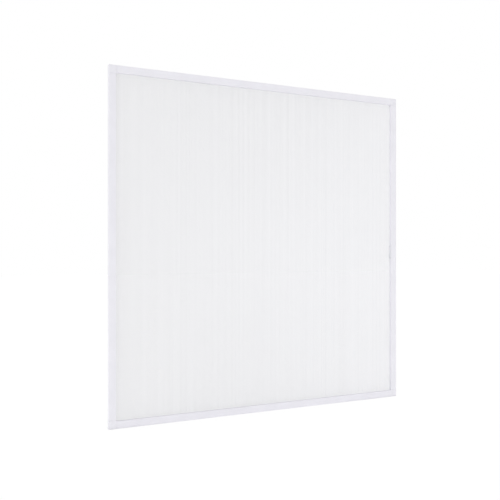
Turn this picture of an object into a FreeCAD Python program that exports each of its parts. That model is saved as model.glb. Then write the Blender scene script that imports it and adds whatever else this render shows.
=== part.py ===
"""Insect screen for a window: a square frame of slim aluminium profiles, with a fine mesh.

Four hollow profiles meet at moulded corner blocks, whose legs are pushed into the profile
chambers. The mesh closes the opening. Its edges are tucked into a groove in the back of the
frame and held there by four lengths of ribbed cord, the splines. Pile strips seal the frame
against the window, four steel brackets hook behind the window's edge, and a small finger
pull sits on the right stile. Nothing moves.

Millimetres. X runs to the right, Y to the back and Z up, as the screen hangs. The origin is
the middle of the screen, in the plane of the frame's back, which faces the window.

The members are drawn once, as the bottom rail lies: u counts inwards from the frame's outer
edge, and d counts backwards from its front face.
"""

import FreeCAD, Part
import math
import os

Vector = FreeCAD.Vector

# The whole frame
overall_width = 1200.0
overall_height = 1200.0

# Extruded profile
face_width = 25.0
frame_depth = 11.0
outer_wall = 1.2
web = 1.1
edge_radius = 0.8

# Spline groove, in the back of the profile beside the opening
lip_wall = 1.4
lip_drop = 0.7
groove_width = 5.2
groove_depth = 5.0
notch_depth = 0.25
notch_height = 0.5
notch_pitch = 1.1
notch_count = 3

# T slot for the pile strip, in the back of the profile near its outer edge
slot_edge = 2.2
slot_width = 6.8
slot_mouth = 4.4
slot_cavity = 1.6
slot_lip = 1.0

# Moulded corner block
corner_size = 28.0
corner_radius = 1.2
corner_inner_radius = 2.0
corner_chamfer = 0.4
joint_gap = 0.25
core_wall = 2.4
core_floor = 3.0
core_size = 13.0
core_rib = 1.4

# Legs of the corner block, inside the profile chambers
leg_length = 42.0
leg_clearance = 0.2
leg_taper = 2.5
leg_rib_width = 0.8
leg_pockets = 3
leg_pocket_length = 8.5
leg_pocket_wall = 2.6

# Mesh
fabric = 0.45
selvedge = 3.0
weave_wall = 0.25
gaps_across = 12
gaps_up = 10
thread_band = 22.0
band_ridges = 2
ridge_width = 6.0
hem_trim = 0.5

# Spline cord
spline_rib_height = 0.22
spline_ribs = 12
spline_end_gap = 0.3

# Pile strip
pile_height = 5.0
pile_base = 0.9
pile_base_clearance = 0.2
pile_side_clearance = 0.2
pile_crown = 0.6
pile_end_gap = 0.5

# Hook brackets
bracket_inset = 150.0
bracket_width = 22.0
bracket_sheet = 1.2
bracket_bend = 0.8
bracket_foot = 8.0
shelf_inset = 17.0
hook_pocket = 16.0
upper_hook_reach = 13.0
lower_hook_reach = 9.0
hook_flare = 0.9
hook_flare_length = 2.5
hook_corner = 2.2

# Bracket screws
screw_spacing = 12.0
screw_radius = 1.45
screw_hole_clearance = 0.1
screw_length = 6.5
screw_head_radius = 2.2
screw_head_space = 2.1
screw_head_height = 1.5

# Finger pull
pull_length = 56.0
pull_height = 4.0
pull_front_inset = 0.4
pull_mesh_clearance = 0.4
pull_below_middle = 18.0
pull_end_slope = 2.6
pull_edge_chamfer = 0.5
scoop_radius = 5.0
scoop_depth = 1.7
scoop_length = 30.0
scoop_end_slope = 3.0
scoop_ribs = 5
scoop_rib_pitch = 4.5
scoop_rib_width = 1.1
scoop_rib_height = 0.5

# Screws of the finger pull
pull_screw_inset = 5.0
pull_screw_radius = 1.1
pull_screw_length = 7.5
pull_screw_tip_space = 0.1
pull_screw_head_radius = 2.1
pull_screw_head_height = 1.2

# Places that follow from the sizes
half_width = overall_width / 2
half_height = overall_height / 2
groove_end = face_width - lip_wall
groove_start = groove_end - groove_width
groove_floor = frame_depth - groove_depth
lip_top = frame_depth - lip_drop
chamber_end = groove_start - web
slot_end = slot_edge + slot_width
slot_floor = frame_depth - slot_lip - slot_cavity
chamber_floor = slot_floor - web
back_wall = frame_depth - outer_wall
land_start = slot_end + web
screw_line = shelf_inset - screw_head_space - screw_head_radius
mesh_back = lip_top + fabric
bracket_place = half_width - bracket_inset
rail_length = overall_width - 2 * (corner_size + joint_gap)
stile_length = overall_height - 2 * (corner_size + joint_gap)
screw_hole_radius = screw_radius + screw_hole_clearance
pull_screw_line = (outer_wall + groove_floor - web) / 2
pull_screw_hole_radius = pull_screw_radius + screw_hole_clearance
pull_screw_hole_depth = pull_screw_length - pull_height + pull_screw_tip_space

# How far each member is turned about Y from the bottom rail's place
BOTTOM, RIGHT, TOP, LEFT = 0, -90, 180, 90


def back(d):
    """The Y of a place that lies d behind the front face."""
    return d - frame_depth


def box(x0, x1, d0, d1, z0, z1):
    """A block between two places on each axis, with its depth counted from the front."""
    return Part.makeBox(x1 - x0, d1 - d0, z1 - z0, Vector(x0, back(d0), z0))


def bar(outline, length):
    """A straight bar of a closed outline of (u, d) points, centred on its length."""
    corners = [Vector(-length / 2, back(d), u) for u, d in outline]
    face = Part.Face(Part.makePolygon(corners + corners[:1]))
    return face.extrude(Vector(length, 0, 0))


def edges_at(shape, test):
    """The edges whose two end points both pass the test."""
    return [e for e in shape.Edges if len(e.Vertexes) == 2 and all(test(v.Point) for v in e.Vertexes)]


def same(a, b):
    """Whether two lengths are equal, apart from rounding."""
    return abs(a - b) < 1e-4


def on_side(shape, turn):
    """Moves a piece from the bottom rail's own frame to its side of the screen."""
    outwards = {
        BOTTOM: Vector(0, 0, -half_height),
        RIGHT: Vector(half_width, 0, 0),
        TOP: Vector(0, 0, half_height),
        LEFT: Vector(-half_width, 0, 0),
    }
    placed = shape.copy()
    placed.rotate(Vector(0, 0, 0), Vector(0, 1, 0), turn)
    placed.translate(outwards[turn])
    return placed


def on_corner(shape, turn, right, up):
    """Moves a piece from the bottom left corner's own frame to another corner."""
    placed = shape.copy()
    placed.rotate(Vector(0, 0, 0), Vector(0, 1, 0), turn)
    placed.translate(Vector(right * half_width, 0, up * half_height))
    return placed


def groove_outline():
    """The spline groove's section, with fine notches in both walls that grip the cord."""
    outer = [(groove_start, frame_depth + web)]
    inner = [(groove_end, frame_depth + web)]
    for k in range(notch_count):
        d = lip_top - (k + 1) * notch_pitch
        for wall, points, into in ((groove_start, outer, -1), (groove_end, inner, 1)):
            points.append((wall, d + notch_height / 2))
            points.append((wall + into * notch_depth, d))
            points.append((wall, d - notch_height / 2))
    outer.append((groove_start, groove_floor))
    inner.append((groove_end, groove_floor))
    return outer + inner[::-1]


def slot_outline():
    """The section of the T slot that holds the pile strip."""
    middle = (slot_edge + slot_end) / 2
    near = middle - slot_mouth / 2
    far = middle + slot_mouth / 2
    lip = frame_depth - slot_lip
    outside = frame_depth + web
    return [
        (slot_edge, slot_floor),
        (slot_end, slot_floor),
        (slot_end, lip),
        (far, lip),
        (far, outside),
        (near, outside),
        (near, lip),
        (slot_edge, lip),
    ]


def chamber_outline():
    """The main chamber's section: it steps back beside the T slot, up to the back wall."""
    return [
        (outer_wall, outer_wall),
        (chamber_end, outer_wall),
        (chamber_end, back_wall),
        (land_start, back_wall),
        (land_start, chamber_floor),
        (outer_wall, chamber_floor),
    ]


def small_chamber_outline():
    """The section of the small chamber in front of the spline groove."""
    far = face_width - outer_wall
    floor = groove_floor - web
    return [(groove_start, outer_wall), (far, outer_wall), (far, floor), (groove_start, floor)]


def profile(length):
    """A length of the extruded profile, with its front edges rounded."""
    blank = bar([(0, 0), (face_width, 0), (face_width, frame_depth), (0, frame_depth)], length)
    front = edges_at(blank, lambda p: same(p.y, back(0)))
    long_front = [e for e in front if same(e.Length, length)]
    body = blank.makeFillet(edge_radius, long_front)
    lip = [
        (groove_end, lip_top),
        (face_width + web, lip_top),
        (face_width + web, frame_depth + web),
        (groove_end, frame_depth + web),
    ]
    hollows = [groove_outline(), slot_outline(), chamber_outline(), small_chamber_outline(), lip]
    return body.cut(Part.makeCompound([bar(h, length) for h in hollows]))


def screw_places():
    """The four places of a rail's bracket screws along its length."""
    return [
        side * bracket_place + shift * screw_spacing / 2
        for side in (-1, 1)
        for shift in (-1, 1)
    ]


def rail():
    """A top or bottom rail, with the bracket screws' holes in its back wall."""
    holes = [
        Part.makeCylinder(
            screw_hole_radius, outer_wall, Vector(x, back(back_wall), screw_line), Vector(0, 1, 0)
        )
        for x in screw_places()
    ]
    return profile(rail_length).cut(Part.makeCompound(holes))


def pull_screw_places():
    """The two places of the finger pull's screws along the right stile."""
    reach = pull_length / 2 - pull_screw_inset
    return [-pull_below_middle - reach, -pull_below_middle + reach]


def right_stile():
    """The stile with the finger pull's screw holes, drilled in from beside the opening."""
    holes = [
        Part.makeCylinder(
            pull_screw_hole_radius,
            pull_screw_hole_depth,
            Vector(x, back(pull_screw_line), face_width - pull_screw_hole_depth),
        )
        for x in pull_screw_places()
    ]
    return profile(stile_length).cut(Part.makeCompound(holes))


def corner_leg():
    """One leg of a corner block: cored out, tapered at its tip, with thin crush ribs."""
    start = corner_size
    end = corner_size + leg_length
    low, high = outer_wall + leg_clearance, chamber_end - leg_clearance
    front, rear = outer_wall + leg_clearance, chamber_floor - leg_clearance
    leg = box(start, end, front, rear, low, high)
    tip = [e for e in leg.Edges if all(same(v.Point.x, end) for v in e.Vertexes)]
    leg = leg.makeChamfer(min(leg_taper, (rear - front) / 3), tip)
    pitch = leg_length / leg_pockets
    pockets = []
    for k in range(leg_pockets):
        middle = start + (k + 0.5) * pitch
        pockets.append(
            box(
                middle - leg_pocket_length / 2,
                middle + leg_pocket_length / 2,
                front,
                rear,
                low + leg_pocket_wall,
                high - leg_pocket_wall,
            )
        )
    leg = leg.cut(Part.makeCompound(pockets))
    ribs = [
        box(start, end - 2 * leg_taper, outer_wall, chamber_floor, near, near + leg_rib_width)
        for near in (low, high - leg_rib_width)
    ]
    return leg.fuse(ribs)


def corner_block():
    """The bottom left corner block, with its outer corner at X 0 and Z 0."""
    size = corner_size
    block = box(0, size, 0, frame_depth, 0, size)
    inner = edges_at(block, lambda p: same(p.x, size) and same(p.z, size))
    block = block.makeFillet(corner_inner_radius, inner)
    outer = edges_at(block, lambda p: same(p.x, 0) and same(p.z, 0))
    block = block.makeFillet(corner_radius, outer)
    block = block.makeChamfer(corner_chamfer, edges_at(block, lambda p: same(p.y, back(0))))
    groove = [
        box(groove_start, size, groove_floor, frame_depth, groove_start, groove_end),
        box(groove_start, groove_end, groove_floor, frame_depth, groove_start, size),
        box(groove_end, size, lip_top, frame_depth, groove_end, size),
    ]
    core_end = core_wall + core_size
    core = box(core_wall, core_end, core_floor, frame_depth, core_wall, core_end)
    across = Part.makeBox(2 * core_end, frame_depth, core_rib, Vector(-core_end, back(0), -core_rib / 2))
    across.rotate(Vector(0, 0, 0), Vector(0, 1, 0), 45)
    middle = core_wall + core_size / 2
    across.translate(Vector(middle, 0, middle))
    block = block.cut(Part.makeCompound(groove)).cut(core.cut(across))
    leg = corner_leg()
    other_leg = leg.mirror(Vector(0, 0, 0), Vector(1, 0, -1))
    return block.fuse([leg, other_leg]).removeSplitter()


def square_ring(outer_u, inner_u, front_d, back_d):
    """A flat frame between two distances from the screen's outer edge."""
    outer = box(
        outer_u - half_width,
        half_width - outer_u,
        front_d,
        back_d,
        outer_u - half_height,
        half_height - outer_u,
    )
    inner = box(
        inner_u - half_width,
        half_width - inner_u,
        front_d,
        back_d,
        inner_u - half_height,
        half_height - inner_u,
    )
    return outer.cut(inner)


def gap_spans(half_span, count):
    """The two ends of each gap across the pane, with a band of threads between each two."""
    pitch = (2 * half_span + thread_band) / count
    starts = [k * pitch - half_span for k in range(count)]
    return [(start, start + pitch - thread_band) for start in starts]


def ridge_middles(half_span, count):
    """The middles of the ridges, side by side on each band between two gaps."""
    ridge_pitch = thread_band / band_ridges
    first = ridge_pitch / 2
    bands = [end for start, end in gap_spans(half_span, count)[:-1]]
    return [band + first + i * ridge_pitch for band in bands for i in range(band_ridges)]


def comb_outline(half_span, count, base, crest):
    """The section of a sheet with ridges on one face: (place across, d) points."""
    points = [(-half_span, base)]
    for middle in ridge_middles(half_span, count):
        points += [
            (middle - ridge_width / 2, base),
            (middle - ridge_width / 2, crest),
            (middle + ridge_width / 2, crest),
            (middle + ridge_width / 2, base),
        ]
    points.append((half_span, base))
    return points


def ridged_sheet(half_across, half_along, count, middle, face, crest):
    """Half of the pane: a flat sheet from its middle plane out to face, ridged up to crest.

    The ridges run along X, one beside the other along Z, on the bands between the gaps.
    """
    outline = comb_outline(half_across, count, face, crest)
    outline += [(half_across, middle), (-half_across, middle)]
    return bar(outline, 2 * half_along)


def insect_mesh():
    """The woven sheet: a thin wall, open in a grid of gaps, with ridges both ways between them.

    The real weave has a thread every millimetre and a half, and about six tenths of it is
    open. Here each band between two gaps stands for the threads beside it, drawn together,
    with upright ridges in front and level ones behind, and the same share is open. Round the
    pane the sheet goes over the lip, down into the groove, under the cord and up its other
    side, where it is trimmed.
    """
    inset = face_width + selvedge
    half_x = half_width - inset
    half_z = half_height - inset
    middle = lip_top + fabric / 2
    level = ridged_sheet(half_z, half_x, gaps_up, middle, middle + weave_wall / 2, mesh_back)
    upright = ridged_sheet(half_x, half_z, gaps_across, middle, middle - weave_wall / 2, lip_top)
    upright.rotate(Vector(0, 0, 0), Vector(0, 1, 0), LEFT)
    gaps = [
        box(x0, x1, lip_top, mesh_back, z0, z1)
        for x0, x1 in gap_spans(half_x, gaps_across)
        for z0, z1 in gap_spans(half_z, gaps_up)
    ]
    pane = level.fuse(upright).removeSplitter().cut(Part.makeCompound(gaps))
    hem = [
        square_ring(groove_end - fabric, inset, lip_top, mesh_back),
        square_ring(groove_end - fabric, groove_end, groove_floor, lip_top),
        square_ring(groove_start, groove_end, groove_floor, groove_floor + fabric),
        square_ring(groove_start, groove_start + fabric, groove_floor, frame_depth - hem_trim),
    ]
    return hem[0].fuse(hem[1:]).fuse(pane).removeSplitter()


def spline_bar(length):
    """A length of spline cord: soft and solid, with ribs all round, pressed in the groove."""
    radius = (groove_end - groove_start - 2 * fabric) / 2
    middle_u = (groove_start + groove_end) / 2
    middle_d = groove_floor + fabric + radius
    outline = []
    for k in range(2 * spline_ribs):
        reach = radius - (k % 2) * spline_rib_height
        for edge in (-0.5, 0.5):
            turn = (k + edge * 0.6) * math.pi / spline_ribs
            outline.append((middle_u + reach * math.cos(turn), middle_d + reach * math.sin(turn)))
    return bar(outline, length)


def pile_bar(length):
    """A pile strip: a woven base in the T slot, and a dense row of pile that stands out."""
    middle = (slot_edge + slot_end) / 2
    half_base = slot_width / 2 - pile_base_clearance
    half_pile = slot_mouth / 2 - pile_side_clearance
    top = frame_depth + pile_height
    base = slot_floor + pile_base
    half = [
        (half_base, slot_floor),
        (half_base, base),
        (half_pile, base),
        (half_pile, top - pile_crown),
        (half_pile - pile_crown, top),
    ]
    outline = [(middle + across, d) for across, d in half]
    outline += [(middle - across, d) for across, d in half[::-1]]
    return bar(outline, length)


def hook_bracket(reach):
    """A folded steel bracket on a rail's back: a foot, a shelf and a hook, at X 0."""
    sheet = bracket_sheet
    shelf = shelf_inset + sheet
    rear = frame_depth + hook_pocket
    tip = shelf_inset - reach
    outline = [
        (shelf - bracket_foot, frame_depth),
        (shelf - bracket_foot, frame_depth + sheet),
        (shelf_inset, frame_depth + sheet),
        (shelf_inset, rear),
        (tip + hook_flare_length, rear),
        (tip, rear + hook_flare),
        (tip, rear + hook_flare + sheet),
        (tip + hook_flare_length, rear + sheet),
        (shelf, rear + sheet),
        (shelf, frame_depth),
    ]
    blank = bar(outline, bracket_width)
    inside = edges_at(blank, lambda p: same(p.z, shelf_inset))
    folded = blank.makeFillet(bracket_bend, [e for e in inside if same(e.Length, bracket_width)])
    outside = edges_at(folded, lambda p: same(p.z, shelf))
    long_outside = [e for e in outside if same(e.Length, bracket_width)]
    folded = folded.makeFillet(bracket_bend + sheet, long_outside)
    end = edges_at(folded, lambda p: same(p.z, tip))
    corners = [e for e in end if same(e.Length, sheet)]
    folded = folded.makeChamfer(hook_corner, corners)
    holes = [
        Part.makeCylinder(
            screw_hole_radius, sheet, Vector(shift * screw_spacing / 2, 0, screw_line), Vector(0, 1, 0)
        )
        for shift in (-1, 1)
    ]
    return folded.cut(Part.makeCompound(holes))


def turned(points):
    """A turned piece about Z from (radius, height) points, starting and ending on the axis."""
    corners = [Vector(r, 0, z) for r, z in points]
    face = Part.Face(Part.makePolygon(corners + corners[:1]))
    return face.revolve(Vector(0, 0, 0), Vector(0, 0, 1), 360)


def bracket_screw():
    """A screw with a flat round head, with the head's seat at Z 0 and its shank below."""
    r, head = screw_radius, screw_head_radius
    return turned(
        [
            (0, -screw_length),
            (r, -screw_length),
            (r, 0),
            (head, 0),
            (head, screw_head_height),
            (0, screw_head_height),
        ]
    )


def pull_screw():
    """A countersunk screw with the top of its head at Z 0 and its shank below."""
    r, head = pull_screw_radius, pull_screw_head_radius
    return turned(
        [
            (0, -pull_screw_length),
            (r, -pull_screw_length),
            (r, -pull_screw_head_height),
            (head, 0),
            (0, 0),
        ]
    )


def rail_screws(turn):
    """The four bracket screws of one rail."""
    screws = []
    for x in screw_places():
        screw = bracket_screw()
        screw.rotate(Vector(0, 0, 0), Vector(1, 0, 0), -90)
        screw.translate(Vector(x, bracket_sheet, screw_line))
        screws.append(on_side(screw, turn))
    return screws


def finger_pull():
    """The finger pull on the right stile, drawn on the bottom rail's own frame."""
    middle = -pull_below_middle
    front, rear = pull_front_inset, lip_top - pull_mesh_clearance
    low, high = face_width, face_width + pull_height
    body = box(middle - pull_length / 2, middle + pull_length / 2, front, rear, low, high)
    ends = [
        e
        for e in body.Edges
        if same(e.Length, rear - front) and same(e.CenterOfMass.z, high)
    ]
    body = body.makeChamfer(pull_end_slope, ends)
    sides = [
        e
        for e in edges_at(body, lambda p: p.z > low + pull_edge_chamfer)
        if same(e.CenterOfMass.y, back(front)) or same(e.CenterOfMass.y, back(rear))
    ]
    body = body.makeChamfer(pull_edge_chamfer, sides)
    axis_u = high - scoop_depth + scoop_radius
    axis_d = (front + rear) / 2
    floor = high - scoop_depth
    half_scoop = scoop_length / 2
    start = Vector(middle - half_scoop, back(axis_d), axis_u)
    round_bar = Part.makeCylinder(scoop_radius, scoop_length, start, Vector(1, 0, 0))
    sloped = [
        Vector(middle - half_scoop, back(front), high),
        Vector(middle + half_scoop, back(front), high),
        Vector(middle + half_scoop - scoop_end_slope, back(front), floor),
        Vector(middle - half_scoop + scoop_end_slope, back(front), floor),
    ]
    wedge = Part.Face(Part.makePolygon(sloped + sloped[:1])).extrude(Vector(0, rear - front, 0))
    body = body.cut(round_bar.common(wedge))
    crest = floor + scoop_rib_height
    half_rib = math.sqrt(scoop_radius**2 - (axis_u - crest) ** 2)
    ribs = []
    for k in range(scoop_ribs):
        x = middle + (k - (scoop_ribs - 1) / 2) * scoop_rib_pitch
        half = scoop_rib_width / 2
        ribs.append(box(x - half, x + half, axis_d - half_rib, axis_d + half_rib, floor - half, crest))
    body = body.fuse(ribs)
    holes = []
    for x in pull_screw_places():
        place = Vector(x, back(pull_screw_line), low)
        holes.append(Part.makeCylinder(pull_screw_hole_radius, pull_height, place))
        sink = Vector(x, back(pull_screw_line), high - pull_screw_head_height)
        holes.append(
            Part.makeCone(pull_screw_radius, pull_screw_head_radius, pull_screw_head_height, sink)
        )
    return body.cut(Part.makeCompound(holes)).removeSplitter()


def pull_screws():
    """The finger pull's two screws, on the right stile."""
    screws = []
    for x in pull_screw_places():
        screw = pull_screw()
        screw.translate(Vector(x, back(pull_screw_line), face_width + pull_height))
        screws.append(on_side(screw, RIGHT))
    return screws


def build():
    """Every piece of the screen, by name."""
    parts = {}

    parts["bottom_rail"] = on_side(rail(), BOTTOM)
    parts["top_rail"] = on_side(rail(), TOP)
    parts["left_stile"] = on_side(profile(stile_length), LEFT)
    parts["right_stile"] = on_side(right_stile(), RIGHT)

    corner = corner_block()
    parts["corner_block_bottom_left"] = on_corner(corner, BOTTOM, -1, -1)
    parts["corner_block_bottom_right"] = on_corner(corner, RIGHT, 1, -1)
    parts["corner_block_top_right"] = on_corner(corner, TOP, 1, 1)
    parts["corner_block_top_left"] = on_corner(corner, LEFT, -1, 1)

    parts["insect_mesh"] = insect_mesh()

    spline_span = overall_width - 2 * (groove_start + fabric)
    spline_drop = overall_height - 2 * (groove_end - fabric + spline_end_gap)
    parts["spline_bottom"] = on_side(spline_bar(spline_span), BOTTOM)
    parts["spline_top"] = on_side(spline_bar(spline_span), TOP)
    parts["spline_left"] = on_side(spline_bar(spline_drop), LEFT)
    parts["spline_right"] = on_side(spline_bar(spline_drop), RIGHT)

    parts["pile_strip_bottom"] = on_side(pile_bar(rail_length - 2 * pile_end_gap), BOTTOM)
    parts["pile_strip_top"] = on_side(pile_bar(rail_length - 2 * pile_end_gap), TOP)
    parts["pile_strip_left"] = on_side(pile_bar(stile_length - 2 * pile_end_gap), LEFT)
    parts["pile_strip_right"] = on_side(pile_bar(stile_length - 2 * pile_end_gap), RIGHT)

    for name, turn, reach in (("upper", TOP, upper_hook_reach), ("lower", BOTTOM, lower_hook_reach)):
        for side, right in (("left", -1), ("right", 1)):
            bracket = hook_bracket(reach)
            along = right if turn == BOTTOM else -right
            bracket.translate(Vector(along * bracket_place, 0, 0))
            parts[f"{name}_hook_{side}"] = on_side(bracket, turn)
    parts["hook_screws"] = Part.makeCompound(rail_screws(TOP) + rail_screws(BOTTOM))

    parts["finger_pull"] = on_side(finger_pull(), RIGHT)
    parts["finger_pull_screws"] = Part.makeCompound(pull_screws())
    return parts


def main():
    """Writes one STEP file for each piece."""
    os.makedirs("parts", exist_ok=True)
    for name, shape in build().items():
        shape.exportStep(f"parts/{name}.step")
        print(name, len(shape.Solids), "solids,", round(shape.Volume), "cubic mm")


main()
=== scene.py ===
"""Dresses the window insect screen and sets it in a pale studio.

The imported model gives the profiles, corner blocks and brackets. This script adds the woven
mesh, the ribbed cords, the pile strips, the screws and the finger pull, gives every surface
its finish, and places the floor, the light and the camera.
"""

import logging
import math
from collections.abc import Callable, Iterable
from dataclasses import dataclass, field
from enum import Enum

import bmesh
import bpy
from mathutils import Matrix, Vector


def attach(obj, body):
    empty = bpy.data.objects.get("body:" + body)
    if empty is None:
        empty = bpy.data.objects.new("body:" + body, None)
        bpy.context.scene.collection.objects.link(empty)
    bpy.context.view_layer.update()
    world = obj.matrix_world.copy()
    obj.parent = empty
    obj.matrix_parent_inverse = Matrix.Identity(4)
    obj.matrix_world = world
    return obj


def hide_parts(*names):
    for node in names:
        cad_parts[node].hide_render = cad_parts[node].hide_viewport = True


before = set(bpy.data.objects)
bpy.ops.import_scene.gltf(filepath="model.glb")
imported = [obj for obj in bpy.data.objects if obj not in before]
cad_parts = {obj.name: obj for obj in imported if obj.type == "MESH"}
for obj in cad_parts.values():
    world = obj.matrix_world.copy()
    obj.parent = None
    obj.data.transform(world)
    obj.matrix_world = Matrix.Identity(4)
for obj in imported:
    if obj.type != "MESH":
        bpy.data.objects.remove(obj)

log = logging.getLogger("insect_screen")

Piece = bpy.types.Object
Tree = bpy.types.NodeTree
Socket = bpy.types.NodeSocket

# Lengths in the classes are in millimetres, and this turns them to metres.
MM = 0.001
# Points that lie closer than this, in metres, count as one.
SAME_PLACE = 1e-6
# A face looks along an axis where its normal reaches further along it than this.
FACING = 0.9
WHITE = (1.0, 1.0, 1.0, 1.0)
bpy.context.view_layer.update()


class Side(Enum):
    """The four sides of the screen, by the turn about Y from the bottom one."""

    BOTTOM = 0
    RIGHT = -90
    TOP = 180
    LEFT = 90

    def turn(self) -> Matrix:
        """The rotation that carries the bottom side's pieces to this side."""
        return Matrix.Rotation(math.radians(self.value), 4, "Y")


def clear() -> None:
    """Leaves nothing selected and no edit mode open."""
    if bpy.context.object is not None and bpy.context.object.mode != "OBJECT":
        bpy.ops.object.mode_set(mode="OBJECT")
    bpy.ops.object.select_all(action="DESELECT")


def take(piece: Piece) -> None:
    """Makes one piece the only selected one, and the active one.

    Args:
        piece: the piece to take.
    """
    clear()
    piece.select_set(True)
    bpy.context.view_layer.objects.active = piece


def named(name: str) -> Piece:
    """Names the piece that was just added and applies its place.

    Args:
        name: the name of the piece and of its mesh.

    Returns:
        The piece, with its object at the origin.
    """
    piece = bpy.context.object
    piece.name = name
    piece.data.name = name
    bpy.ops.object.transform_apply(location=True, rotation=True, scale=True)
    return piece


def block(name: str, low: Vector, high: Vector) -> Piece:
    """Adds a block between two corners.

    Args:
        name: the name of the new piece.
        low: its lowest corner.
        high: its highest corner.

    Returns:
        The new piece.
    """
    clear()
    bpy.ops.mesh.primitive_cube_add(size=1, location=(low + high) / 2)
    bpy.context.object.scale = high - low
    return named(name)


def rod(name: str, start: Vector, end: Vector, radius: float, sides: int) -> Piece:
    """Adds a straight rod between two points.

    Args:
        name: the name of the new piece.
        start: the middle of its first end.
        end: the middle of its other end.
        radius: its radius in metres.
        sides: how many flat sides it has.

    Returns:
        The new piece.
    """
    clear()
    along = end - start
    bpy.ops.mesh.primitive_cylinder_add(
        vertices=sides, radius=radius, depth=along.length, location=(start + end) / 2
    )
    bpy.context.object.rotation_euler = along.to_track_quat("Z", "Y").to_euler()
    return named(name)


def pick(
    piece: Piece,
    faces: Callable[[bmesh.types.BMFace], bool] | None = None,
    edges: Callable[[bmesh.types.BMEdge], bool] | None = None,
    points: Callable[[bmesh.types.BMVert], bool] | None = None,
) -> None:
    """Opens edit mode on a piece and selects what passes one of the tests.

    Args:
        piece: the piece to edit.
        faces: a test for faces, or None.
        edges: a test for edges, or None.
        points: a test for points, or None.
    """
    if bpy.context.object is not piece or piece.mode != "EDIT":
        take(piece)
        bpy.ops.object.mode_set(mode="EDIT")
    kind = "FACE" if faces else "EDGE" if edges else "VERT"
    bpy.ops.mesh.select_mode(type=kind)
    bpy.ops.mesh.select_all(action="DESELECT")
    work = bmesh.from_edit_mesh(piece.data)
    test = faces or edges or points
    for element in {"FACE": work.faces, "EDGE": work.edges, "VERT": work.verts}[kind]:
        element.select_set(test(element))
    work.select_flush_mode()
    bmesh.update_edit_mesh(piece.data)


def modify(piece: Piece, kind: str, **settings: object) -> None:
    """Adds a modifier with its settings and applies it.

    Args:
        piece: the piece to change.
        kind: Blender's name of the modifier's type.
        settings: the modifier's properties.
    """
    take(piece)
    modifier = piece.modifiers.new(kind.title(), kind)
    for key, value in settings.items():
        setattr(modifier, key, value)
    bpy.ops.object.modifier_apply(modifier=modifier.name)


def row_of(piece: Piece, count: int, step: Vector) -> None:
    """Repeats a piece in a straight row.

    Args:
        piece: the first piece of the row, which takes up the others.
        count: how many there are in all.
        step: the way from one to the next, in metres.
    """
    modify(
        piece,
        "ARRAY",
        count=count,
        use_relative_offset=False,
        use_constant_offset=True,
        constant_offset_displace=step,
    )


def moved_copy(piece: Piece, name: str, place: Matrix) -> Piece:
    """Copies a piece with its mesh and moves the copy's mesh.

    Args:
        piece: the piece to copy.
        name: the name of the copy.
        place: how the copy's mesh is moved and turned.

    Returns:
        The copy.
    """
    copy = piece.copy()
    copy.data = piece.data.copy()
    copy.name = name
    copy.data.name = name
    bpy.context.scene.collection.objects.link(copy)
    copy.data.transform(place)
    return copy


def joined(name: str, pieces: Iterable[Piece]) -> Piece:
    """Joins several pieces into one.

    Args:
        name: the name of the joined piece.
        pieces: the pieces, which are used up.

    Returns:
        The joined piece.
    """
    clear()
    several = list(pieces)
    for piece in several:
        piece.select_set(True)
    bpy.context.view_layer.objects.active = several[0]
    if len(several) > 1:
        bpy.ops.object.join()
    return named(name)


def face_outwards(piece: Piece) -> None:
    """Merges doubled points and turns all faces outwards.

    Args:
        piece: the piece to mend.
    """
    pick(piece, faces=lambda face: True)
    bpy.ops.mesh.remove_doubles(threshold=SAME_PLACE)
    bpy.ops.mesh.normals_make_consistent(inside=False)
    bpy.ops.object.mode_set(mode="OBJECT")


def smooth(piece: Piece, degrees: float = 35) -> None:
    """Shades a piece smooth, apart from its sharp edges.

    Args:
        piece: the piece to shade.
        degrees: the angle from which an edge counts as sharp.
    """
    take(piece)
    bpy.ops.object.shade_smooth_by_angle(angle=math.radians(degrees))


def finish_piece(piece: Piece, finish: "Finish", slot: str, *nodes: str) -> None:
    """Gives a new piece its finish, its body and the nodes that it stands for.

    Args:
        piece: the finished piece, in place.
        finish: its surface.
        slot: the record's material slot; not used.
        nodes: the CAD nodes that it stands for.
    """
    piece.data.materials.clear()
    piece.data.materials.append(finish.material())
    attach(piece, "root")
    if nodes:
        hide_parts(*nodes)
    count = len(piece.data.polygons)
    log.info("%s: %d faces, stands for %s", piece.name, count, nodes or "nothing")


def linear(colour: str) -> tuple[float, float, float, float]:
    """Turns an sRGB hex value into a linear colour, by the curve of the sRGB standard.

    Args:
        colour: six hex digits.

    Returns:
        Red, green, blue and alpha.
    """
    parts = [int(colour[i : i + 2], 16) / 255 for i in (0, 2, 4)]
    red, green, blue = (
        part / 12.92 if part <= 0.04045 else ((part + 0.055) / 1.055) ** 2.4 for part in parts
    )
    return (red, green, blue, 1.0)


def add(
    tree: Tree,
    kind: str,
    settings: dict[str, object] | None = None,
    links: dict[str | int, Socket] | None = None,
) -> bpy.types.Node:
    """Adds a node with its settings and links.

    Args:
        tree: the node tree.
        kind: the node's type.
        settings: values by the name of a property or an input.
        links: output sockets by the name or number of the input that they go to.

    Returns:
        The new node.
    """
    node = tree.nodes.new(kind)
    for key, value in (settings or {}).items():
        if hasattr(node, key):
            setattr(node, key, value)
        else:
            node.inputs[key].default_value = value
    for key, source in (links or {}).items():
        tree.links.new(source, node.inputs[key])
    return node


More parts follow.
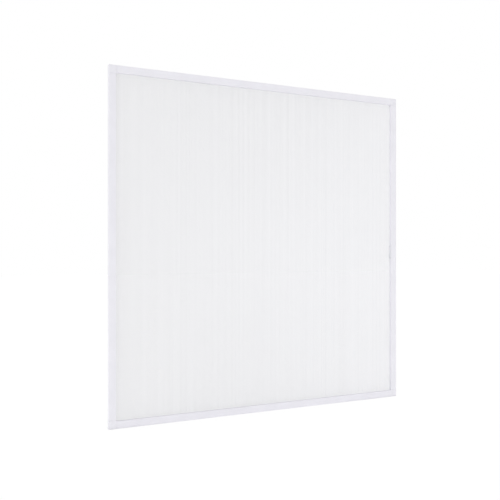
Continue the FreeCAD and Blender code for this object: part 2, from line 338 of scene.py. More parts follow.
@dataclass(frozen=True)
class Finish:
    """A surface whose colour wavers a little between two tones, with a fine grain."""

    name: str
    light: str
    dark: str
    roughness: float
    metallic: float = 0.0
    ior: float = 1.5
    patch_mm: float = 40.0
    grain_mm: float = 0.8
    grain_height_mm: float = 0.01
    grain_detail: float = 0.6
    sheen: float = 0.0
    blend: tuple[float, float] = (0.35, 0.65)
    gloss_waver: float = 0.1
    relief_strength: float = 0.5

    def material(self) -> bpy.types.Material:
        """The material of this finish, made on its first use."""
        known = bpy.data.materials.get(self.name)
        return known if known else self.build()

    def build(self) -> bpy.types.Material:
        """Makes the material.

        Returns:
            A node material that reads Object coordinates.
        """
        material = bpy.data.materials.new(self.name)
        material.use_nodes = True
        tree = material.node_tree
        tree.nodes.clear()
        place = add(tree, "ShaderNodeTexCoord").outputs["Object"]
        shader = add(
            tree,
            "ShaderNodeBsdfPrincipled",
            {"Metallic": self.metallic, "IOR": self.ior, "Sheen Weight": self.sheen},
            {
                "Base Color": self.colour(tree, place),
                "Roughness": self.gloss(tree, place),
                "Normal": self.relief(tree, place),
            },
        )
        add(tree, "ShaderNodeOutputMaterial", links={"Surface": shader.outputs["BSDF"]})
        return material

    def colour(self, tree: Tree, place: Socket) -> Socket:
        """Wavers between the two tones in soft patches.

        Args:
            tree: the material's node tree.
            place: the Object coordinates.

        Returns:
            The colour.
        """
        patches = add(
            tree,
            "ShaderNodeTexNoise",
            {"Scale": 1 / (self.patch_mm * MM), "Detail": 3.0},
            {"Vector": place},
        )
        return self.between(tree, patches.outputs["Fac"])

    def between(self, tree: Tree, share: Socket) -> Socket:
        """Goes from the dark tone to the light one as a share grows.

        Args:
            tree: the material's node tree.
            share: the share, of which the blend's two ends give the plain tones.

        Returns:
            The colour.
        """
        ramp = add(tree, "ShaderNodeValToRGB", links={"Fac": share})
        ends = zip(ramp.color_ramp.elements, self.blend, (self.dark, self.light))
        for element, position, tone in ends:
            element.position = position
            element.color = linear(tone)
        return ramp.outputs["Color"]

    def gloss(self, tree: Tree, place: Socket) -> Socket:
        """Roughness that wavers a little, as handling and the tool leave it.

        Args:
            tree: the material's node tree.
            place: the Object coordinates.

        Returns:
            The roughness.
        """
        cloud = add(
            tree,
            "ShaderNodeTexNoise",
            {"Scale": 1 / (0.5 * self.patch_mm * MM), "Detail": 2.0},
            {"Vector": place},
        )
        low, high = 1 - self.gloss_waver, 1 + self.gloss_waver
        spread = add(
            tree,
            "ShaderNodeMapRange",
            {"To Min": low * self.roughness, "To Max": high * self.roughness},
            {"Value": cloud.outputs["Fac"]},
        )
        return spread.outputs["Result"]

    def relief(self, tree: Tree, place: Socket) -> Socket:
        """Makes the surface's fine height show.

        Args:
            tree: the material's node tree.
            place: the Object coordinates.

        Returns:
            The bumped normal.
        """
        bump = add(
            tree,
            "ShaderNodeBump",
            {"Strength": self.relief_strength, "Distance": self.grain_height_mm * MM},
            {"Height": self.height(tree, place)},
        )
        return bump.outputs["Normal"]

    def height(self, tree: Tree, place: Socket) -> Socket:
        """A fine random grain.

        Args:
            tree: the material's node tree.
            place: the Object coordinates.

        Returns:
            The height.
        """
        grain = add(
            tree,
            "ShaderNodeTexNoise",
            {"Scale": 1 / (self.grain_mm * MM), "Detail": 2.0, "Roughness": self.grain_detail},
            {"Vector": place},
        )
        return grain.outputs["Fac"]


@dataclass(frozen=True)
class WovenFinish(Finish):
    """A coated thread that waves over and under its neighbours.

    The tone runs in faint upright streaks, as between bobbins of yarn. It is also painted slowly
    paler from the sheet's left edge to its right one: painted light, not a tone of the yarn.
    """

    streak_mm: float = 9.0
    streak_share: float = 0.45
    streak_stretch: float = 0.003
    painted_light_slope: tuple[float, float] = (0.125, 0.425)
    half_sheet_mm: float = 575.0
    pitch_across_mm: float = 1.41
    pitch_up_mm: float = 1.59
    grain_height_mm: float = 0.09
    relief_strength: float = 1.0

    def colour(self, tree: Tree, place: Socket) -> Socket:
        """Upright streaks a few millimetres wide, on a slow painted lightening from left to right.

        Args:
            tree: the material's node tree.
            place: the Object coordinates.

        Returns:
            The colour.
        """
        stretched = add(
            tree,
            "ShaderNodeMapping",
            {"Scale": (1.0, 1.0, self.streak_stretch)},
            {"Vector": place},
        )
        streaks = add(
            tree,
            "ShaderNodeTexNoise",
            {"Scale": 1 / (self.streak_mm * MM), "Detail": 2.0},
            {"Vector": stretched.outputs["Vector"]},
        )
        axes = add(tree, "ShaderNodeSeparateXYZ", links={"Vector": place})
        # Painted light: the tone grows paler towards the sheet's right edge, standing in for
        # light, not yarn colour.
        half = self.half_sheet_mm * MM
        left, right = self.painted_light_slope
        painted_light_slope = add(
            tree,
            "ShaderNodeMapRange",
            {"From Min": -half, "From Max": half, "To Min": left, "To Max": right},
            {"Value": axes.outputs["X"]},
        )
        share = add(
            tree,
            "ShaderNodeMath",
            {"operation": "MULTIPLY_ADD"},
            {0: streaks.outputs["Fac"], 2: painted_light_slope.outputs["Result"]},
        )
        share.inputs[1].default_value = self.streak_share
        return self.between(tree, share.outputs["Value"])

    def height(self, tree: Tree, place: Socket) -> Socket:
        """A wave along each thread, up at one crossing and down at the next.

        Args:
            tree: the material's node tree.
            place: the Object coordinates.

        Returns:
            The height.
        """
        axes = add(tree, "ShaderNodeSeparateXYZ", links={"Vector": place})
        waves = []
        for axis, pitch in (("X", self.pitch_across_mm), ("Z", self.pitch_up_mm)):
            turn = add(tree, "ShaderNodeMath", {"operation": "MULTIPLY"}, {0: axes.outputs[axis]})
            turn.inputs[1].default_value = math.pi / (pitch * MM)
            waves.append(add(tree, "ShaderNodeMath", {"operation": "SINE"}, {0: turn.outputs[0]}))
        crossing = add(
            tree,
            "ShaderNodeMath",
            {"operation": "MULTIPLY"},
            {0: waves[0].outputs[0], 1: waves[1].outputs[0]},
        )
        return crossing.outputs[0]


@dataclass(frozen=True)
class ZincFinish(Finish):
    """Bright zinc on rolled sheet: a cool, faintly cloudy tone over fine rolling lines."""

    line_mm: float = 0.3
    line_stretch: float = 0.03
    relief_strength: float = 0.6

    def height(self, tree: Tree, place: Socket) -> Socket:
        """Fine lines along X, which the rolls left in the sheet below the zinc.

        Args:
            tree: the material's node tree.
            place: the Object coordinates.

        Returns:
            The height.
        """
        drawn = add(
            tree, "ShaderNodeMapping", {"Scale": (self.line_stretch, 1.0, 1.0)}, {"Vector": place}
        )
        lines = add(
            tree,
            "ShaderNodeTexNoise",
            {"Scale": 1 / (self.line_mm * MM), "Detail": 2.0},
            {"Vector": drawn.outputs["Vector"]},
        )
        return lines.outputs["Fac"]


@dataclass(frozen=True)
class FibreFinish(Finish):
    """Dense fibres that stand up from a base: fine lines along Y, and a soft sheen."""

    fibre_mm: float = 0.35
    fibre_stretch: float = 0.06
    relief_strength: float = 0.8

    def height(self, tree: Tree, place: Socket) -> Socket:
        """Fine lines along the fibres.

        Args:
            tree: the material's node tree.
            place: the Object coordinates.

        Returns:
            The height.
        """
        drawn = add(
            tree, "ShaderNodeMapping", {"Scale": (1.0, self.fibre_stretch, 1.0)}, {"Vector": place}
        )
        fibres = add(
            tree,
            "ShaderNodeTexNoise",
            {"Scale": 1 / (self.fibre_mm * MM), "Detail": 1.0},
            {"Vector": drawn.outputs["Vector"]},
        )
        return fibres.outputs["Fac"]


# Polyester powder coat on aluminium, baked: satin, with the faint ripple of orange peel.
POWDER_COAT = Finish(
    "powder_coat_white", "E7E6EC", "E4E3E9", 0.38, grain_mm=1.4, grain_height_mm=0.012, patch_mm=60
)

# Moulded ABS in the same white: a spark-eroded mould gives it an even matt grain.
MOULDED_ABS = Finish(
    "moulded_abs_white", "E6E5EB", "E3E2E8", 0.46, grain_mm=0.5, grain_height_mm=0.01, patch_mm=12
)

# Glass fibre thread in white vinyl, woven and then set by heat: smooth, with a soft gloss.
COATED_THREAD = WovenFinish("vinyl_coated_glass_thread", "E5E5EA", "CECED3", 0.5)

# Soft extruded vinyl: matt, and a little dusty in its ribs.
SOFT_VINYL = Finish(
    "soft_vinyl_cord", "D3D3D6", "C9C9CD", 0.62, grain_mm=0.6, grain_height_mm=0.02, patch_mm=25
)

# Polypropylene pile: fine grey fibres that catch light at their tips.
PILE_FIBRE = FibreFinish(
    "polypropylene_pile", "B9B9BC", "A4A4A8", 0.85, grain_height_mm=0.08, patch_mm=9, sheen=0.3
)

# Zinc plate on cold rolled steel, cleared: cool, bright and slightly cloudy, with rolling lines.
ZINC_PLATE = ZincFinish(
    "zinc_plated_steel", "CDD0D4", "C3C7CC", 0.34, metallic=1.0, grain_height_mm=0.006, patch_mm=5
)

# Moulded plastic of the finger pull: a fine spark-eroded texture, matt. Its grey, darker than
# the frame's white, is partly the pull's own tone and partly painted shade for its shaded side.
PULL_PLASTIC_AND_PAINTED_SHADE = Finish(
    "moulded_plastic_grey_and_painted_shade",
    "DFDFE4",
    "DBDBE0",
    0.5,
    grain_mm=0.35,
    grain_height_mm=0.015,
    patch_mm=8,
)


@dataclass
class Profile:
    """The section of the extruded profile, counted inwards (u) and backwards (d), in mm."""

    half_span: float = 600.0
    depth: float = 11.0
    face: float = 25.0
    groove_start: float = 18.4
    groove_end: float = 23.6
    groove_floor: float = 6.0
    lip_top: float = 10.3
    slot_start: float = 2.2
    slot_end: float = 9.0
    slot_floor: float = 8.4
    hem_end: float = 10.5

    def at(self, x: float, u: float, d: float) -> Vector:
        """A point of the bottom side: x along it, u inwards, d backwards, in metres."""
        return Vector((x, d - self.depth, u - self.half_span)) * MM


@dataclass
class InsectMesh:
    """The woven sheet: straight coated threads, and a hem that is folded into the groove."""

    profile: Profile
    pitch_across: float = COATED_THREAD.pitch_across_mm
    pitch_up: float = COATED_THREAD.pitch_up_mm
    thread_radius: float = 0.17
    thread_sides: int = 8
    cap_inset: float = 0.3
    cap_rise: float = 0.2
    cloth: float = 0.45
    hem_start: float = 0.1
    hem_width: float = 14.5

    def threads(self, name: str, pitch: float, d: float) -> Piece:
        """One layer of level threads, on the bottom side's axes.

        Args:
            name: the name of the layer.
            pitch: the distance from thread to thread.
            d: how far the middle of the layer lies behind the frame's front.

        Returns:
            The layer, with its threads along X.
        """
        reach = self.profile.half_span - self.profile.groove_end
        count = 2 * int(reach / pitch)
        first = self.profile.half_span - (count - 1) * pitch / 2
        layer = rod(
            name,
            self.profile.at(-reach, first, d),
            self.profile.at(reach, first, d),
            self.thread_radius * MM,
            self.thread_sides,
        )
        pick(layer, faces=lambda face: abs(face.normal.x) > FACING)
        bpy.ops.mesh.inset(
            thickness=self.cap_inset * self.thread_radius * MM,
            depth=self.cap_rise * self.thread_radius * MM,
        )
        bpy.ops.object.mode_set(mode="OBJECT")
        smooth(layer, degrees=60)
        row_of(layer, count, Vector((0, 0, pitch * MM)))
        return layer

    def hem(self) -> Piece:
        """The folded edge of the sheet: over the lip, down, across and up the groove.

        Returns:
            The hem of all four sides.
        """
        p = self.profile
        half = self.cloth / 2
        path = [
            (p.face - self.hem_start, p.lip_top + half),
            (p.groove_end - half, p.lip_top + half),
            (p.groove_end - half, p.groove_floor + half),
            (p.groove_start + half, p.groove_floor + half),
            (p.groove_start + half, p.hem_end),
        ]
        clear()
        bpy.ops.mesh.primitive_plane_add(size=1)
        strip = named("hem")
        pick(strip, points=lambda point: point.co.y > 0)
        bpy.ops.mesh.delete(type="VERT")
        reach = p.half_span - path[0][0]
        pick(strip, points=lambda point: True)
        for point in bmesh.from_edit_mesh(strip.data).verts:
            point.co = p.at(math.copysign(reach, point.co.x), *path[0])
        for (u0, d0), (u1, d1) in zip(path, path[1:]):
            bpy.ops.mesh.extrude_region_move(
                TRANSFORM_OT_translate={"value": Vector((0, d1 - d0, u1 - u0)) * MM}
            )
            stretch = (p.half_span - u1) / (p.half_span - u0)
            bpy.ops.transform.resize(value=(stretch, 1, 1), center_override=p.at(0, u1, d1))
        bpy.ops.object.mode_set(mode="OBJECT")
        turned = [moved_copy(strip, f"hem_{side.name}", side.turn()) for side in list(Side)[1:]]
        ring = joined("hem", [strip, *turned])
        face_outwards(ring)
        modify(ring, "SOLIDIFY", thickness=self.cloth * MM, offset=0.0)
        return ring

    def build(self) -> None:
        front = self.profile.lip_top + self.thread_radius
        rear = self.profile.lip_top + self.cloth - self.thread_radius
        level = self.threads("level_threads", self.pitch_up, rear)
        upright = self.threads("upright_threads", self.pitch_across, front)
        upright.data.transform(Side.LEFT.turn())
        sheet = joined("insect_mesh_weave", [level, upright, self.hem()])
        finish_piece(sheet, COATED_THREAD, "mesh_thread", "insect_mesh")


@dataclass
class SplineCords:
    """Four lengths of ribbed cord that hold the mesh in its groove."""

    profile: Profile
    radius: float = 2.15
    rib_height: float = 0.22
    ribs: int = 12
    cuts: int = 50
    waver: float = 0.04
    end_round: float = 0.35
    even_end: float = 2.0
    cloth: float = InsectMesh.cloth
    corner_gap: float = 0.3
    seed: int = 7

    def cord(self, name: str, reach: float) -> Piece:
        """One cord, as the bottom one lies.

        Args:
            name: the name of the cord.
            reach: half of its length.

        Returns:
            The cord.
        """
        p = self.profile
        u = (p.groove_start + p.groove_end) / 2
        d = p.groove_floor + self.cloth + self.radius
        start, end = p.at(-reach, u, d), p.at(reach, u, d)
        cord = rod(name, start, end, self.radius * MM, 4 * self.ribs)

        def in_valley(point: bmesh.types.BMVert) -> bool:
            """Whether a point lies between two ribs: two points in four do."""
            turn = math.atan2(point.co.z - start.z, point.co.y - start.y)
            return round(turn * 2 * self.ribs / math.pi) // 2 % 2 == 1

        pick(cord, points=in_valley)
        narrower = 1 - self.rib_height / self.radius
        bpy.ops.transform.resize(
            value=(1, narrower, narrower), center_override=(0, start.y, start.z)
        )
        pick(cord, faces=lambda face: abs(face.normal.x) > FACING)
        bpy.ops.mesh.inset(thickness=self.end_round * MM, depth=0.5 * self.end_round * MM)
        pick(cord, edges=lambda edge: edge.calc_length() > reach * MM)
        bpy.ops.mesh.subdivide(number_cuts=self.cuts)
        pick(cord, points=lambda point: abs(point.co.x) < (reach - self.even_end) * MM)
        bpy.ops.transform.vertex_random(offset=self.waver * MM, seed=self.seed)
        bpy.ops.object.mode_set(mode="OBJECT")
        return cord

    def build(self) -> None:
        """Makes the four cords, of which the level two run on through the corners."""
        p = self.profile
        long = p.half_span - p.groove_start - self.cloth - self.end_round
        short = p.half_span - p.groove_end + self.cloth - self.corner_gap - self.end_round
        for side in Side:
            reach = long if side in (Side.BOTTOM, Side.TOP) else short
            cord = self.cord(f"spline_cord_{side.name.lower()}", reach)
            cord.data.transform(side.turn())
            smooth(cord, degrees=50)
            finish_piece(cord, SOFT_VINYL, "spline_cord", f"spline_{side.name.lower()}")


@dataclass
class PileStrips:
    """Dense rows of fine tufts on a woven base in the T slot."""

    profile: Profile
    reach: float = 571.25
    base_height: float = 0.9
    base_clearance: float = 0.2
    selvedge_width: float = 0.6
    selvedge_rise: float = 0.25
    pile_top: float = 16.0
    rows: int = 6
    row_pitch: float = 0.64
    block_tufts: int = 48
    blocks: int = 32
    tuft_foot: float = 0.24
    tuft_tip: float = 0.4
    tuft_sides: int = 4
    foot_sink: float = 0.3
    tip_height: float = 0.5
    tip_share: float = 0.7
    frayed_height: float = 1.0
    fray: float = 0.22
    seed: int = 11

    def base(self) -> Piece:
        """The woven base, with a raised selvedge along its edges.

        Returns:
            The base of the bottom strip.
        """
        p = self.profile
        low = p.at(-self.reach, p.slot_start + self.base_clearance, p.slot_floor)
        high = p.at(self.reach, p.slot_end - self.base_clearance, p.slot_floor + self.base_height)
        base = block("pile_base", low, high)
        pick(base, faces=lambda face: face.normal.y > FACING)
        bpy.ops.mesh.inset(thickness=self.selvedge_width * MM, depth=-self.selvedge_rise * MM)
        bpy.ops.object.mode_set(mode="OBJECT")
        return base

    def tuft(self, x: float, u: float) -> Piece:
        """One tuft: a narrow foot that widens upwards and ends in a blunt point.

        Args:
            x: its place along the strip.
            u: its place across the strip.

        Returns:
            The tuft, open below, where it is sunk in the base.
        """
        p = self.profile
        foot = p.slot_floor + self.base_height - self.foot_sink
        wide = self.pile_top - self.tip_height
        tuft = rod(
            "tuft", p.at(x, u, foot), p.at(x, u, wide), self.tuft_foot * MM, self.tuft_sides
        )
        pick(tuft, faces=lambda face: face.normal.y < -FACING)
        bpy.ops.mesh.delete(type="FACE")
        pick(tuft, faces=lambda face: face.normal.y > FACING)
        spread = self.tuft_tip / self.tuft_foot
        bpy.ops.transform.resize(value=(spread, 1, spread), center_override=p.at(x, u, wide))
        bpy.ops.mesh.poke(offset=self.tip_share * self.tip_height * MM)
        bpy.ops.object.mode_set(mode="OBJECT")
        return tuft

    def tufts(self) -> Piece:
        """All the tufts of one strip, from one frayed group repeated along it.

        Returns:
            The tufts of the bottom strip.
        """
        p = self.profile
        pitch = 2 * self.reach / (self.block_tufts * self.blocks)
        across = (p.slot_start + p.slot_end - (self.rows - 1) * self.row_pitch) / 2
        group = self.tuft(-self.reach + pitch / 2, across)
        row_of(group, self.block_tufts, Vector((pitch * MM, 0, 0)))
        row_of(group, self.rows, Vector((0, 0, self.row_pitch * MM)))
        frayed = (self.pile_top - self.frayed_height - p.depth) * MM
        pick(group, points=lambda point: point.co.y > frayed)
        bpy.ops.transform.vertex_random(offset=self.fray * MM, seed=self.seed)
        bpy.ops.object.mode_set(mode="OBJECT")
        row_of(group, self.blocks, Vector((self.block_tufts * pitch * MM, 0, 0)))
        return group

    def build(self) -> None:
        """Makes the four strips."""
        strip = joined("pile_strip", [self.base(), self.tufts()])
        for side in Side:
            name = side.name.lower()
            placed = moved_copy(strip, f"pile_tufts_{name}", side.turn())
            finish_piece(placed, PILE_FIBRE, "pile", f"pile_strip_{name}")
        bpy.data.objects.remove(strip)


@dataclass
class ScrewKind:
    """A screw with a cross recess, drawn with its head's seat at Z 0 and its head up."""

    name: str
    shank_radius: float
    length: float
    head_radius: float
    head_height: float
    countersunk: bool
    recess_width: float
    recess_depth: float
    sides: int = 28
    rounding: float = 0.55
    arm_share: float = 0.2
    recess_taper: tuple[float, float] = (0.45, 0.7)
    recess_overshoot: float = 0.3
    core_share: float = 0.82
    shank_sides: int = 16
    ridge_step: float = 0.6
    ridge: tuple[float, float] = (0.6, 0.9)
    plain_tip: float = 1.0

    def head(self) -> Piece:
        """The head, domed or countersunk.

        Returns:
            The head, still without its recess.
        """
        up = Vector((0, 0, self.head_height * MM))
        head = rod(self.name, Vector((0, 0, 0)), up, self.head_radius * MM, self.sides)
        if self.countersunk:
            pick(head, faces=lambda face: face.normal.z < -FACING)
            narrow = self.shank_radius / self.head_radius
            bpy.ops.transform.resize(value=(narrow, narrow, 1), center_override=(0, 0, 0))
            bpy.ops.object.mode_set(mode="OBJECT")
            return head
        pick(head, edges=lambda edge: all(v.co.z > up.z / 2 for v in edge.verts))
        bpy.ops.mesh.bevel(offset=self.rounding * MM, segments=3, affect="EDGES")
        bpy.ops.object.mode_set(mode="OBJECT")
        return head

    def recess(self) -> Piece:
        """The tapered cross that is cut from the head.

        Returns:
            The cross, which stands out above the head.
        """
        arms = []
        reach = self.recess_width / 2 * MM
        low = (self.head_height - self.recess_depth) * MM
        high = (self.head_height + self.recess_overshoot) * MM
        half = self.arm_share * reach
        for turn in (0, 90):
            arm = block(f"arm_{turn}", Vector((-reach, -half, low)), Vector((reach, half, high)))
            pick(arm, faces=lambda face: face.normal.z < -FACING)
            bpy.ops.transform.resize(value=(*self.recess_taper, 1), center_override=(0, 0, low))
            bpy.ops.object.mode_set(mode="OBJECT")
            arm.data.transform(Matrix.Rotation(math.radians(turn), 4, "Z"))
            arms.append(arm)
        modify(arms[0], "BOOLEAN", object=arms[1], operation="UNION", solver="EXACT")
        bpy.data.objects.remove(arms[1])
        return arms[0]

    def shank(self) -> Piece:
        """The shank, with ridges for its thread.

        Returns:
            The shank, down from the seat.
        """
        tip = Vector((0, 0, -self.length * MM))
        core = self.core_share * self.shank_radius * MM
        shank = rod("shank", Vector((0, 0, 0)), tip, core, self.shank_sides)
        upper, lower = (Vector((0, 0, -depth * MM)) for depth in self.ridge)
        ridge = rod("ridge", upper, lower, self.shank_radius * MM, self.shank_sides)
        count = int((self.length - self.plain_tip) / self.ridge_step)
        row_of(ridge, count, Vector((0, 0, -self.ridge_step * MM)))
        return joined("shank", [shank, ridge])

    def build(self) -> Piece:
        """Makes the screw.

        Returns:
            The screw, still in its own place.
        """
        head = self.head()
        recess = self.recess()
        modify(head, "BOOLEAN", object=recess, operation="DIFFERENCE", solver="EXACT")
        bpy.data.objects.remove(recess)
        screw = joined(self.name, [head, self.shank()])
        smooth(screw, degrees=40)
        return screw


@dataclass
class BracketScrews:
    """The eight screws of the hooked brackets."""

    profile: Profile
    bracket_place: float = 450.0
    spacing: float = 12.0
    line: float = 12.7
    seat: float = 12.2
    turns: tuple[float, ...] = (12, 47, 78, 30, 65, 5, 83, 52)
    screw: ScrewKind = field(
        default_factory=lambda: ScrewKind(
            name="pan_screw",
            shank_radius=1.45,
            length=6.5,
            head_radius=2.2,
            head_height=1.5,
            countersunk=False,
            recess_width=2.3,
            recess_depth=0.9,
        )
    )

    def build(self) -> None:
        """Makes the screws and turns each recess its own way."""
        screw = self.screw.build()
        places = [
            (side, sign * self.bracket_place + shift * self.spacing / 2)
            for side in (Side.BOTTOM, Side.TOP)
            for sign in (-1, 1)
            for shift in (-1, 1)
        ]
        screws = []
        lie = Matrix.Rotation(math.radians(-90), 4, "X")
        for number, (side, x) in enumerate(places):
            spin = Matrix.Rotation(math.radians(self.turns[number]), 4, "Z")
            place = Matrix.Translation(self.profile.at(x, self.line, self.seat))
            screws.append(
                moved_copy(screw, f"pan_screw_{number}", side.turn() @ place @ lie @ spin)
            )
        bpy.data.objects.remove(screw)
        whole = joined("bracket_screws", screws)
        finish_piece(whole, ZINC_PLATE, "plated_steel", "hook_screws")


@dataclass
class FingerPull:
    """The moulded pull on the inner side of the right stile, with its two screws."""

    profile: Profile
    middle: float = -18.0
    length: float = 56.0
    height: float = 4.0
    front: float = 0.4
    rear: float = 9.9
    end_slope: float = 2.6
    edge_round: float = 0.5
    edge_angle: float = 0.7
    foot_margin: float = 0.2
    scoop_radius: float = 5.0
    scoop_depth: float = 1.7
    scoop_length: float = 30.0
    scoop_end: float = 3.0
    scoop_sides: int = 48
    scoop_margin: float = 0.1
    rib_count: int = 5
    rib_pitch: float = 4.5
    rib_width: float = 1.1
    rib_height: float = 0.5
    rib_sink: float = 0.4
    rib_reach: float = 2.3
    rib_round: float = 0.3
    screw_reach: float = 23.0
    screw_line: float = 3.05
    screw_turns: tuple[float, float] = (25, 65)
    screw: ScrewKind = field(
        default_factory=lambda: ScrewKind(
            name="countersunk_screw",
            shank_radius=1.1,
            length=6.3,
            head_radius=2.1,
            head_height=1.2,
            countersunk=True,
            recess_width=2.2,
            recess_depth=0.8,
        )
    )
    sink_clearance: float = 0.08
    sink_overshoot: float = 0.2

    def body(self) -> Piece:
        """The bar with its sloping ends and rounded edges, as on the bottom side.

        Returns:
            The bar, still without its scoop, ribs and holes.
        """
        p = self.profile
        high = p.face + self.height
        half = self.length / 2
        low_corner = p.at(self.middle - half, p.face, self.front)
        high_corner = p.at(self.middle + half, high, self.rear)
        body = block("pull", low_corner, high_corner)
        pick(
            body,
            edges=lambda edge: all(abs(v.co.z - high_corner.z) < SAME_PLACE for v in edge.verts)
            and edge.calc_length() < half * MM,
        )
        bpy.ops.mesh.bevel(offset=self.end_slope * MM, segments=1, affect="EDGES")
        foot = low_corner.z + self.foot_margin * MM
        pick(
            body,
            edges=lambda edge: edge.calc_face_angle(0) > self.edge_angle
            and all(v.co.z > foot for v in edge.verts),
        )
        bpy.ops.mesh.bevel(offset=self.edge_round * MM, segments=3, affect="EDGES")
        bpy.ops.object.mode_set(mode="OBJECT")
        return body

    def scoop(self) -> Piece:
        """The hollow for a fingertip, round across and rounded at its ends.

        Returns:
            The round bar that is cut from the pull.
        """
        p = self.profile
        u = p.face + self.height - self.scoop_depth + self.scoop_radius
        d = (self.front + self.rear) / 2
        half = self.scoop_length / 2
        scoop = rod(
            "scoop",
            p.at(self.middle - half, u, d),
            p.at(self.middle + half, u, d),
            self.scoop_radius * MM,
            self.scoop_sides,
        )
        middle = p.at(self.middle, u, d).x
        near_end = (half - self.scoop_margin) * MM
        pick(
            scoop,
            edges=lambda edge: all(abs(v.co.x - middle) > near_end for v in edge.verts)
            and abs(edge.verts[0].co.x - edge.verts[1].co.x) < SAME_PLACE,
        )
        bpy.ops.mesh.bevel(offset=self.scoop_end * MM, segments=4, affect="EDGES")
        bpy.ops.object.mode_set(mode="OBJECT")
        return scoop

    def ribs(self) -> Piece:
        """Rounded ribs across the scoop's floor, for grip.

        Returns:
            The row of ribs.
        """
        p = self.profile
        floor = p.face + self.height - self.scoop_depth
        first = self.middle - (self.rib_count - 1) / 2 * self.rib_pitch
        d = (self.front + self.rear) / 2
        half = self.rib_width / 2
        rib = block(
            "rib",
            p.at(first - half, floor - self.rib_sink, d - self.rib_reach),
            p.at(first + half, floor + self.rib_height, d + self.rib_reach),
        )
        pick(rib, edges=lambda edge: all(v.co.z > p.at(0, floor, 0).z for v in edge.verts))
        bpy.ops.mesh.bevel(offset=self.rib_round * MM, segments=2, affect="EDGES")
        bpy.ops.object.mode_set(mode="OBJECT")
        row_of(rib, self.rib_count, Vector((self.rib_pitch * MM, 0, 0)))
        return rib

    def sink(self, reach: float) -> Piece:
        """The conical hole for a screw's head, a little wider than the head.

        Args:
            reach: how far it lies from the pull's middle.

        Returns:
            The cone that is cut from the pull.
        """
        high = self.profile.face + self.height
        x = self.middle + reach
        low = self.profile.at(x, high - self.screw.head_height, self.screw_line)
        top = self.profile.at(x, high + self.sink_overshoot, self.screw_line)
        narrow = self.screw.shank_radius + self.sink_clearance
        cone = rod("sink", low, top, narrow * MM, self.screw.sides)
        pick(cone, faces=lambda face: face.normal.z > FACING)
        wide = (self.screw.head_radius + self.sink_clearance) / narrow
        bpy.ops.transform.resize(value=(wide, wide, 1), center_override=top)
        bpy.ops.object.mode_set(mode="OBJECT")
        return cone

    def build(self) -> None:
        """Makes the pull and its screws."""
        body = self.body()
        for cut in (self.scoop(), self.sink(-self.screw_reach), self.sink(self.screw_reach)):
            modify(body, "BOOLEAN", object=cut, operation="DIFFERENCE", solver="EXACT")
            bpy.data.objects.remove(cut)
        pull = joined("finger_pull_moulding", [body, self.ribs()])
        pull.data.transform(Side.RIGHT.turn())
        smooth(pull, degrees=40)
        finish_piece(pull, PULL_PLASTIC_AND_PAINTED_SHADE, "pull_plastic", "finger_pull")
        screw = self.screw.build()
        high = self.profile.face + self.height - self.screw.head_height
        screws = []
        for number, reach in enumerate((-self.screw_reach, self.screw_reach)):
            place = self.profile.at(self.middle + reach, high, self.screw_line)
            spin = Matrix.Rotation(math.radians(self.screw_turns[number]), 4, "Z")
            turned = Side.RIGHT.turn() @ Matrix.Translation(place) @ spin
            screws.append(moved_copy(screw, f"countersunk_screw_{number}", turned))
        bpy.data.objects.remove(screw)
        pair = joined("pull_screw_pair", screws)
        finish_piece(pair, ZINC_PLATE, "plated_steel", "finger_pull_screws")


@dataclass
class CarriedNodes:
    """The CAD nodes whose shape is right: they stay, and get their finish."""

    finishes: dict[str, Finish] = field(
        default_factory=lambda: {
            "top_rail": POWDER_COAT,
            "bottom_rail": POWDER_COAT,
            "left_stile": POWDER_COAT,
            "right_stile": POWDER_COAT,
            "corner_block_top_left": MOULDED_ABS,
            "corner_block_top_right": MOULDED_ABS,
            "corner_block_bottom_left": MOULDED_ABS,
            "corner_block_bottom_right": MOULDED_ABS,
            "upper_hook_left": ZINC_PLATE,
            "upper_hook_right": ZINC_PLATE,
            "lower_hook_left": ZINC_PLATE,
            "lower_hook_right": ZINC_PLATE,
        }
    )

    def build(self) -> None:
        """Puts each finish on its node."""
        for name, finish in self.finishes.items():
            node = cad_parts[name]
            node.data.materials.clear()
            node.data.materials.append(finish.material())
            log.info("%s: %s", name, finish.name)


@dataclass(frozen=True)
class FarLamp:
    """A soft lamp so far off that it lights all of the screen alike."""

    name: str
    strength: float
    spread: float
    source: tuple[float, float, float]

    def build(self) -> None:
        """Hangs the lamp."""
        light = bpy.data.lights.new(self.name, "SUN")
        light.angle = math.radians(self.spread)
        light.energy = self.strength
        lamp = bpy.data.objects.new(self.name, light)
        lamp.rotation_euler = Vector(self.source).to_track_quat("Z", "Y").to_euler()
        bpy.context.scene.collection.objects.link(lamp)


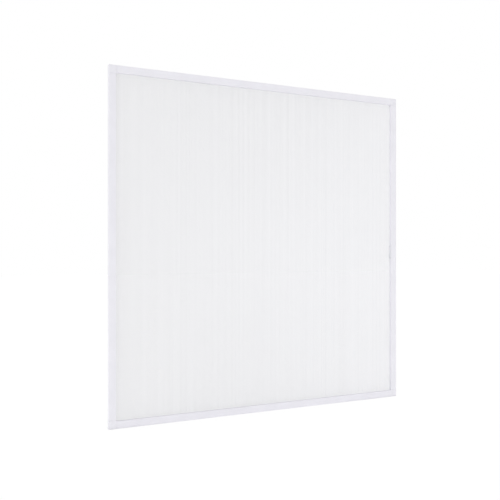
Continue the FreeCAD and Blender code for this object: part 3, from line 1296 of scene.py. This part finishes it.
@dataclass
class Studio:
    """A pale floor, soft light from all round, four weak lamps, and the camera."""

    floor_height: float = -0.601
    floor_size: float = 30.0
    floor_white: float = 0.95
    sky: float = 0.75
    front_lamp: FarLamp = FarLamp("front_lamp", 0.20, 60.0, (-0.8, -1.0, 0.35))
    side_lamp: FarLamp = FarLamp("side_lamp", 0.48, 20.0, (-1.0, -0.35, 0.08))
    top_lamp: FarLamp = FarLamp("top_lamp", 0.68, 60.0, (0.0, -0.1, 1.0))
    shadow_share: float = 0.08
    open_floor_light: float = 0.94
    open_floor_level: float = 1.005
    floor_panel_side: float = 8.0
    floor_panel_glow: float = 0.20
    floor_panel_rise: float = 0.0005
    camera_place: Vector = field(default_factory=lambda: Vector((-1.3684, -2.3928, -0.0113)))
    look: Vector = field(default_factory=lambda: Vector((0.47786, 0.87843, 0.0005)))
    focal_pixels: float = 750.0
    picture: int = 500
    sensor_mm: float = 36.0
    sight: float = 100.0

    def seen_directly(self, tree: Tree) -> Socket:
        """Whether a ray comes from the camera, a mirror-like surface or a clear one.

        Args:
            tree: the node tree of the floor or the world.

        Returns:
            One for such a ray, and nought for any other.
        """
        path = add(tree, "ShaderNodeLightPath").outputs
        either = add(
            tree,
            "ShaderNodeMath",
            {"operation": "MAXIMUM"},
            {0: path["Is Camera Ray"], 1: path["Is Glossy Ray"]},
        )
        any_of = add(
            tree,
            "ShaderNodeMath",
            {"operation": "MAXIMUM"},
            {0: either.outputs[0], 1: path["Is Transmission Ray"]},
        )
        return any_of.outputs[0]

    def world(self) -> None:
        """White behind everything, and an even sky that lights the screen."""
        world = bpy.data.worlds.new("studio")
        world.use_nodes = True
        tree = world.node_tree
        tree.nodes.clear()
        lighting = add(tree, "ShaderNodeBackground", {"Color": WHITE, "Strength": self.sky})
        backdrop = add(tree, "ShaderNodeBackground", {"Color": WHITE, "Strength": 1.0})
        mixed = add(
            tree,
            "ShaderNodeMixShader",
            links={
                0: self.seen_directly(tree),
                1: lighting.outputs["Background"],
                2: backdrop.outputs["Background"],
            },
        )
        add(tree, "ShaderNodeOutputWorld", links={"Surface": mixed.outputs["Shader"]})
        bpy.context.scene.world = world

    def floor(self) -> None:
        """A white floor: as bright as the sky to the eye, but for the screen's soft shadow."""
        clear()
        bpy.ops.mesh.primitive_plane_add(size=self.floor_size, location=(0, 0, self.floor_height))
        floor = named("studio_floor")
        material = bpy.data.materials.new("studio_floor")
        material.use_nodes = True
        tree = material.node_tree
        tree.nodes.clear()
        white = (self.floor_white, self.floor_white, self.floor_white, 1)
        plain = add(tree, "ShaderNodeBsdfDiffuse", {"Color": white})
        share = (self.shadow_share, self.shadow_share, self.shadow_share, 1)
        shaded = add(tree, "ShaderNodeBsdfDiffuse", {"Color": share})
        level = self.open_floor_level - self.shadow_share * self.open_floor_light
        glow = add(tree, "ShaderNodeEmission", {"Color": WHITE, "Strength": level})
        seen = add(
            tree,
            "ShaderNodeAddShader",
            links={0: shaded.outputs["BSDF"], 1: glow.outputs["Emission"]},
        )
        mixed = add(
            tree,
            "ShaderNodeMixShader",
            links={
                0: self.seen_directly(tree),
                1: plain.outputs["BSDF"],
                2: seen.outputs["Shader"],
            },
        )
        add(tree, "ShaderNodeOutputMaterial", links={"Surface": mixed.outputs["Shader"]})
        floor.data.materials.append(material)

    def floor_panel(self) -> None:
        """A weak square lamp that lies on the floor and lights the screen from below."""
        light = bpy.data.lights.new("floor_panel", "AREA")
        light.shape = "SQUARE"
        light.size = self.floor_panel_side
        light.energy = self.floor_panel_glow * math.pi * self.floor_panel_side**2
        lamp = bpy.data.objects.new("floor_panel", light)
        lamp.location = (0, 0, self.floor_height + self.floor_panel_rise)
        lamp.rotation_euler = (math.pi, 0, 0)
        lamp.visible_camera = False
        bpy.context.scene.collection.objects.link(lamp)

    def camera(self) -> None:
        """The camera at the photograph's angle, with its field of view."""
        lens = bpy.data.cameras.new("photo_camera")
        lens.sensor_width = self.sensor_mm
        lens.lens = self.focal_pixels / self.picture * lens.sensor_width
        lens.clip_end = self.sight
        camera = bpy.data.objects.new("photo_camera", lens)
        camera.location = self.camera_place
        camera.rotation_euler = self.look.to_track_quat("-Z", "Y").to_euler()
        bpy.context.scene.collection.objects.link(camera)
        bpy.context.scene.camera = camera

    def build(self) -> None:
        """Sets the whole studio."""
        self.world()
        self.floor()
        for lamp in (self.front_lamp, self.side_lamp, self.top_lamp):
            lamp.build()
        self.floor_panel()
        self.camera()
        bpy.context.scene.view_settings.view_transform = "Standard"


def main() -> None:
    """Builds every piece in order."""
    logging.basicConfig(level=logging.INFO, format="%(name)s: %(message)s")
    profile = Profile()
    CarriedNodes().build()
    InsectMesh(profile).build()
    SplineCords(profile).build()
    PileStrips(profile).build()
    BracketScrews(profile).build()
    FingerPull(profile).build()
    Studio().build()


if __name__ == "__main__":
    main()
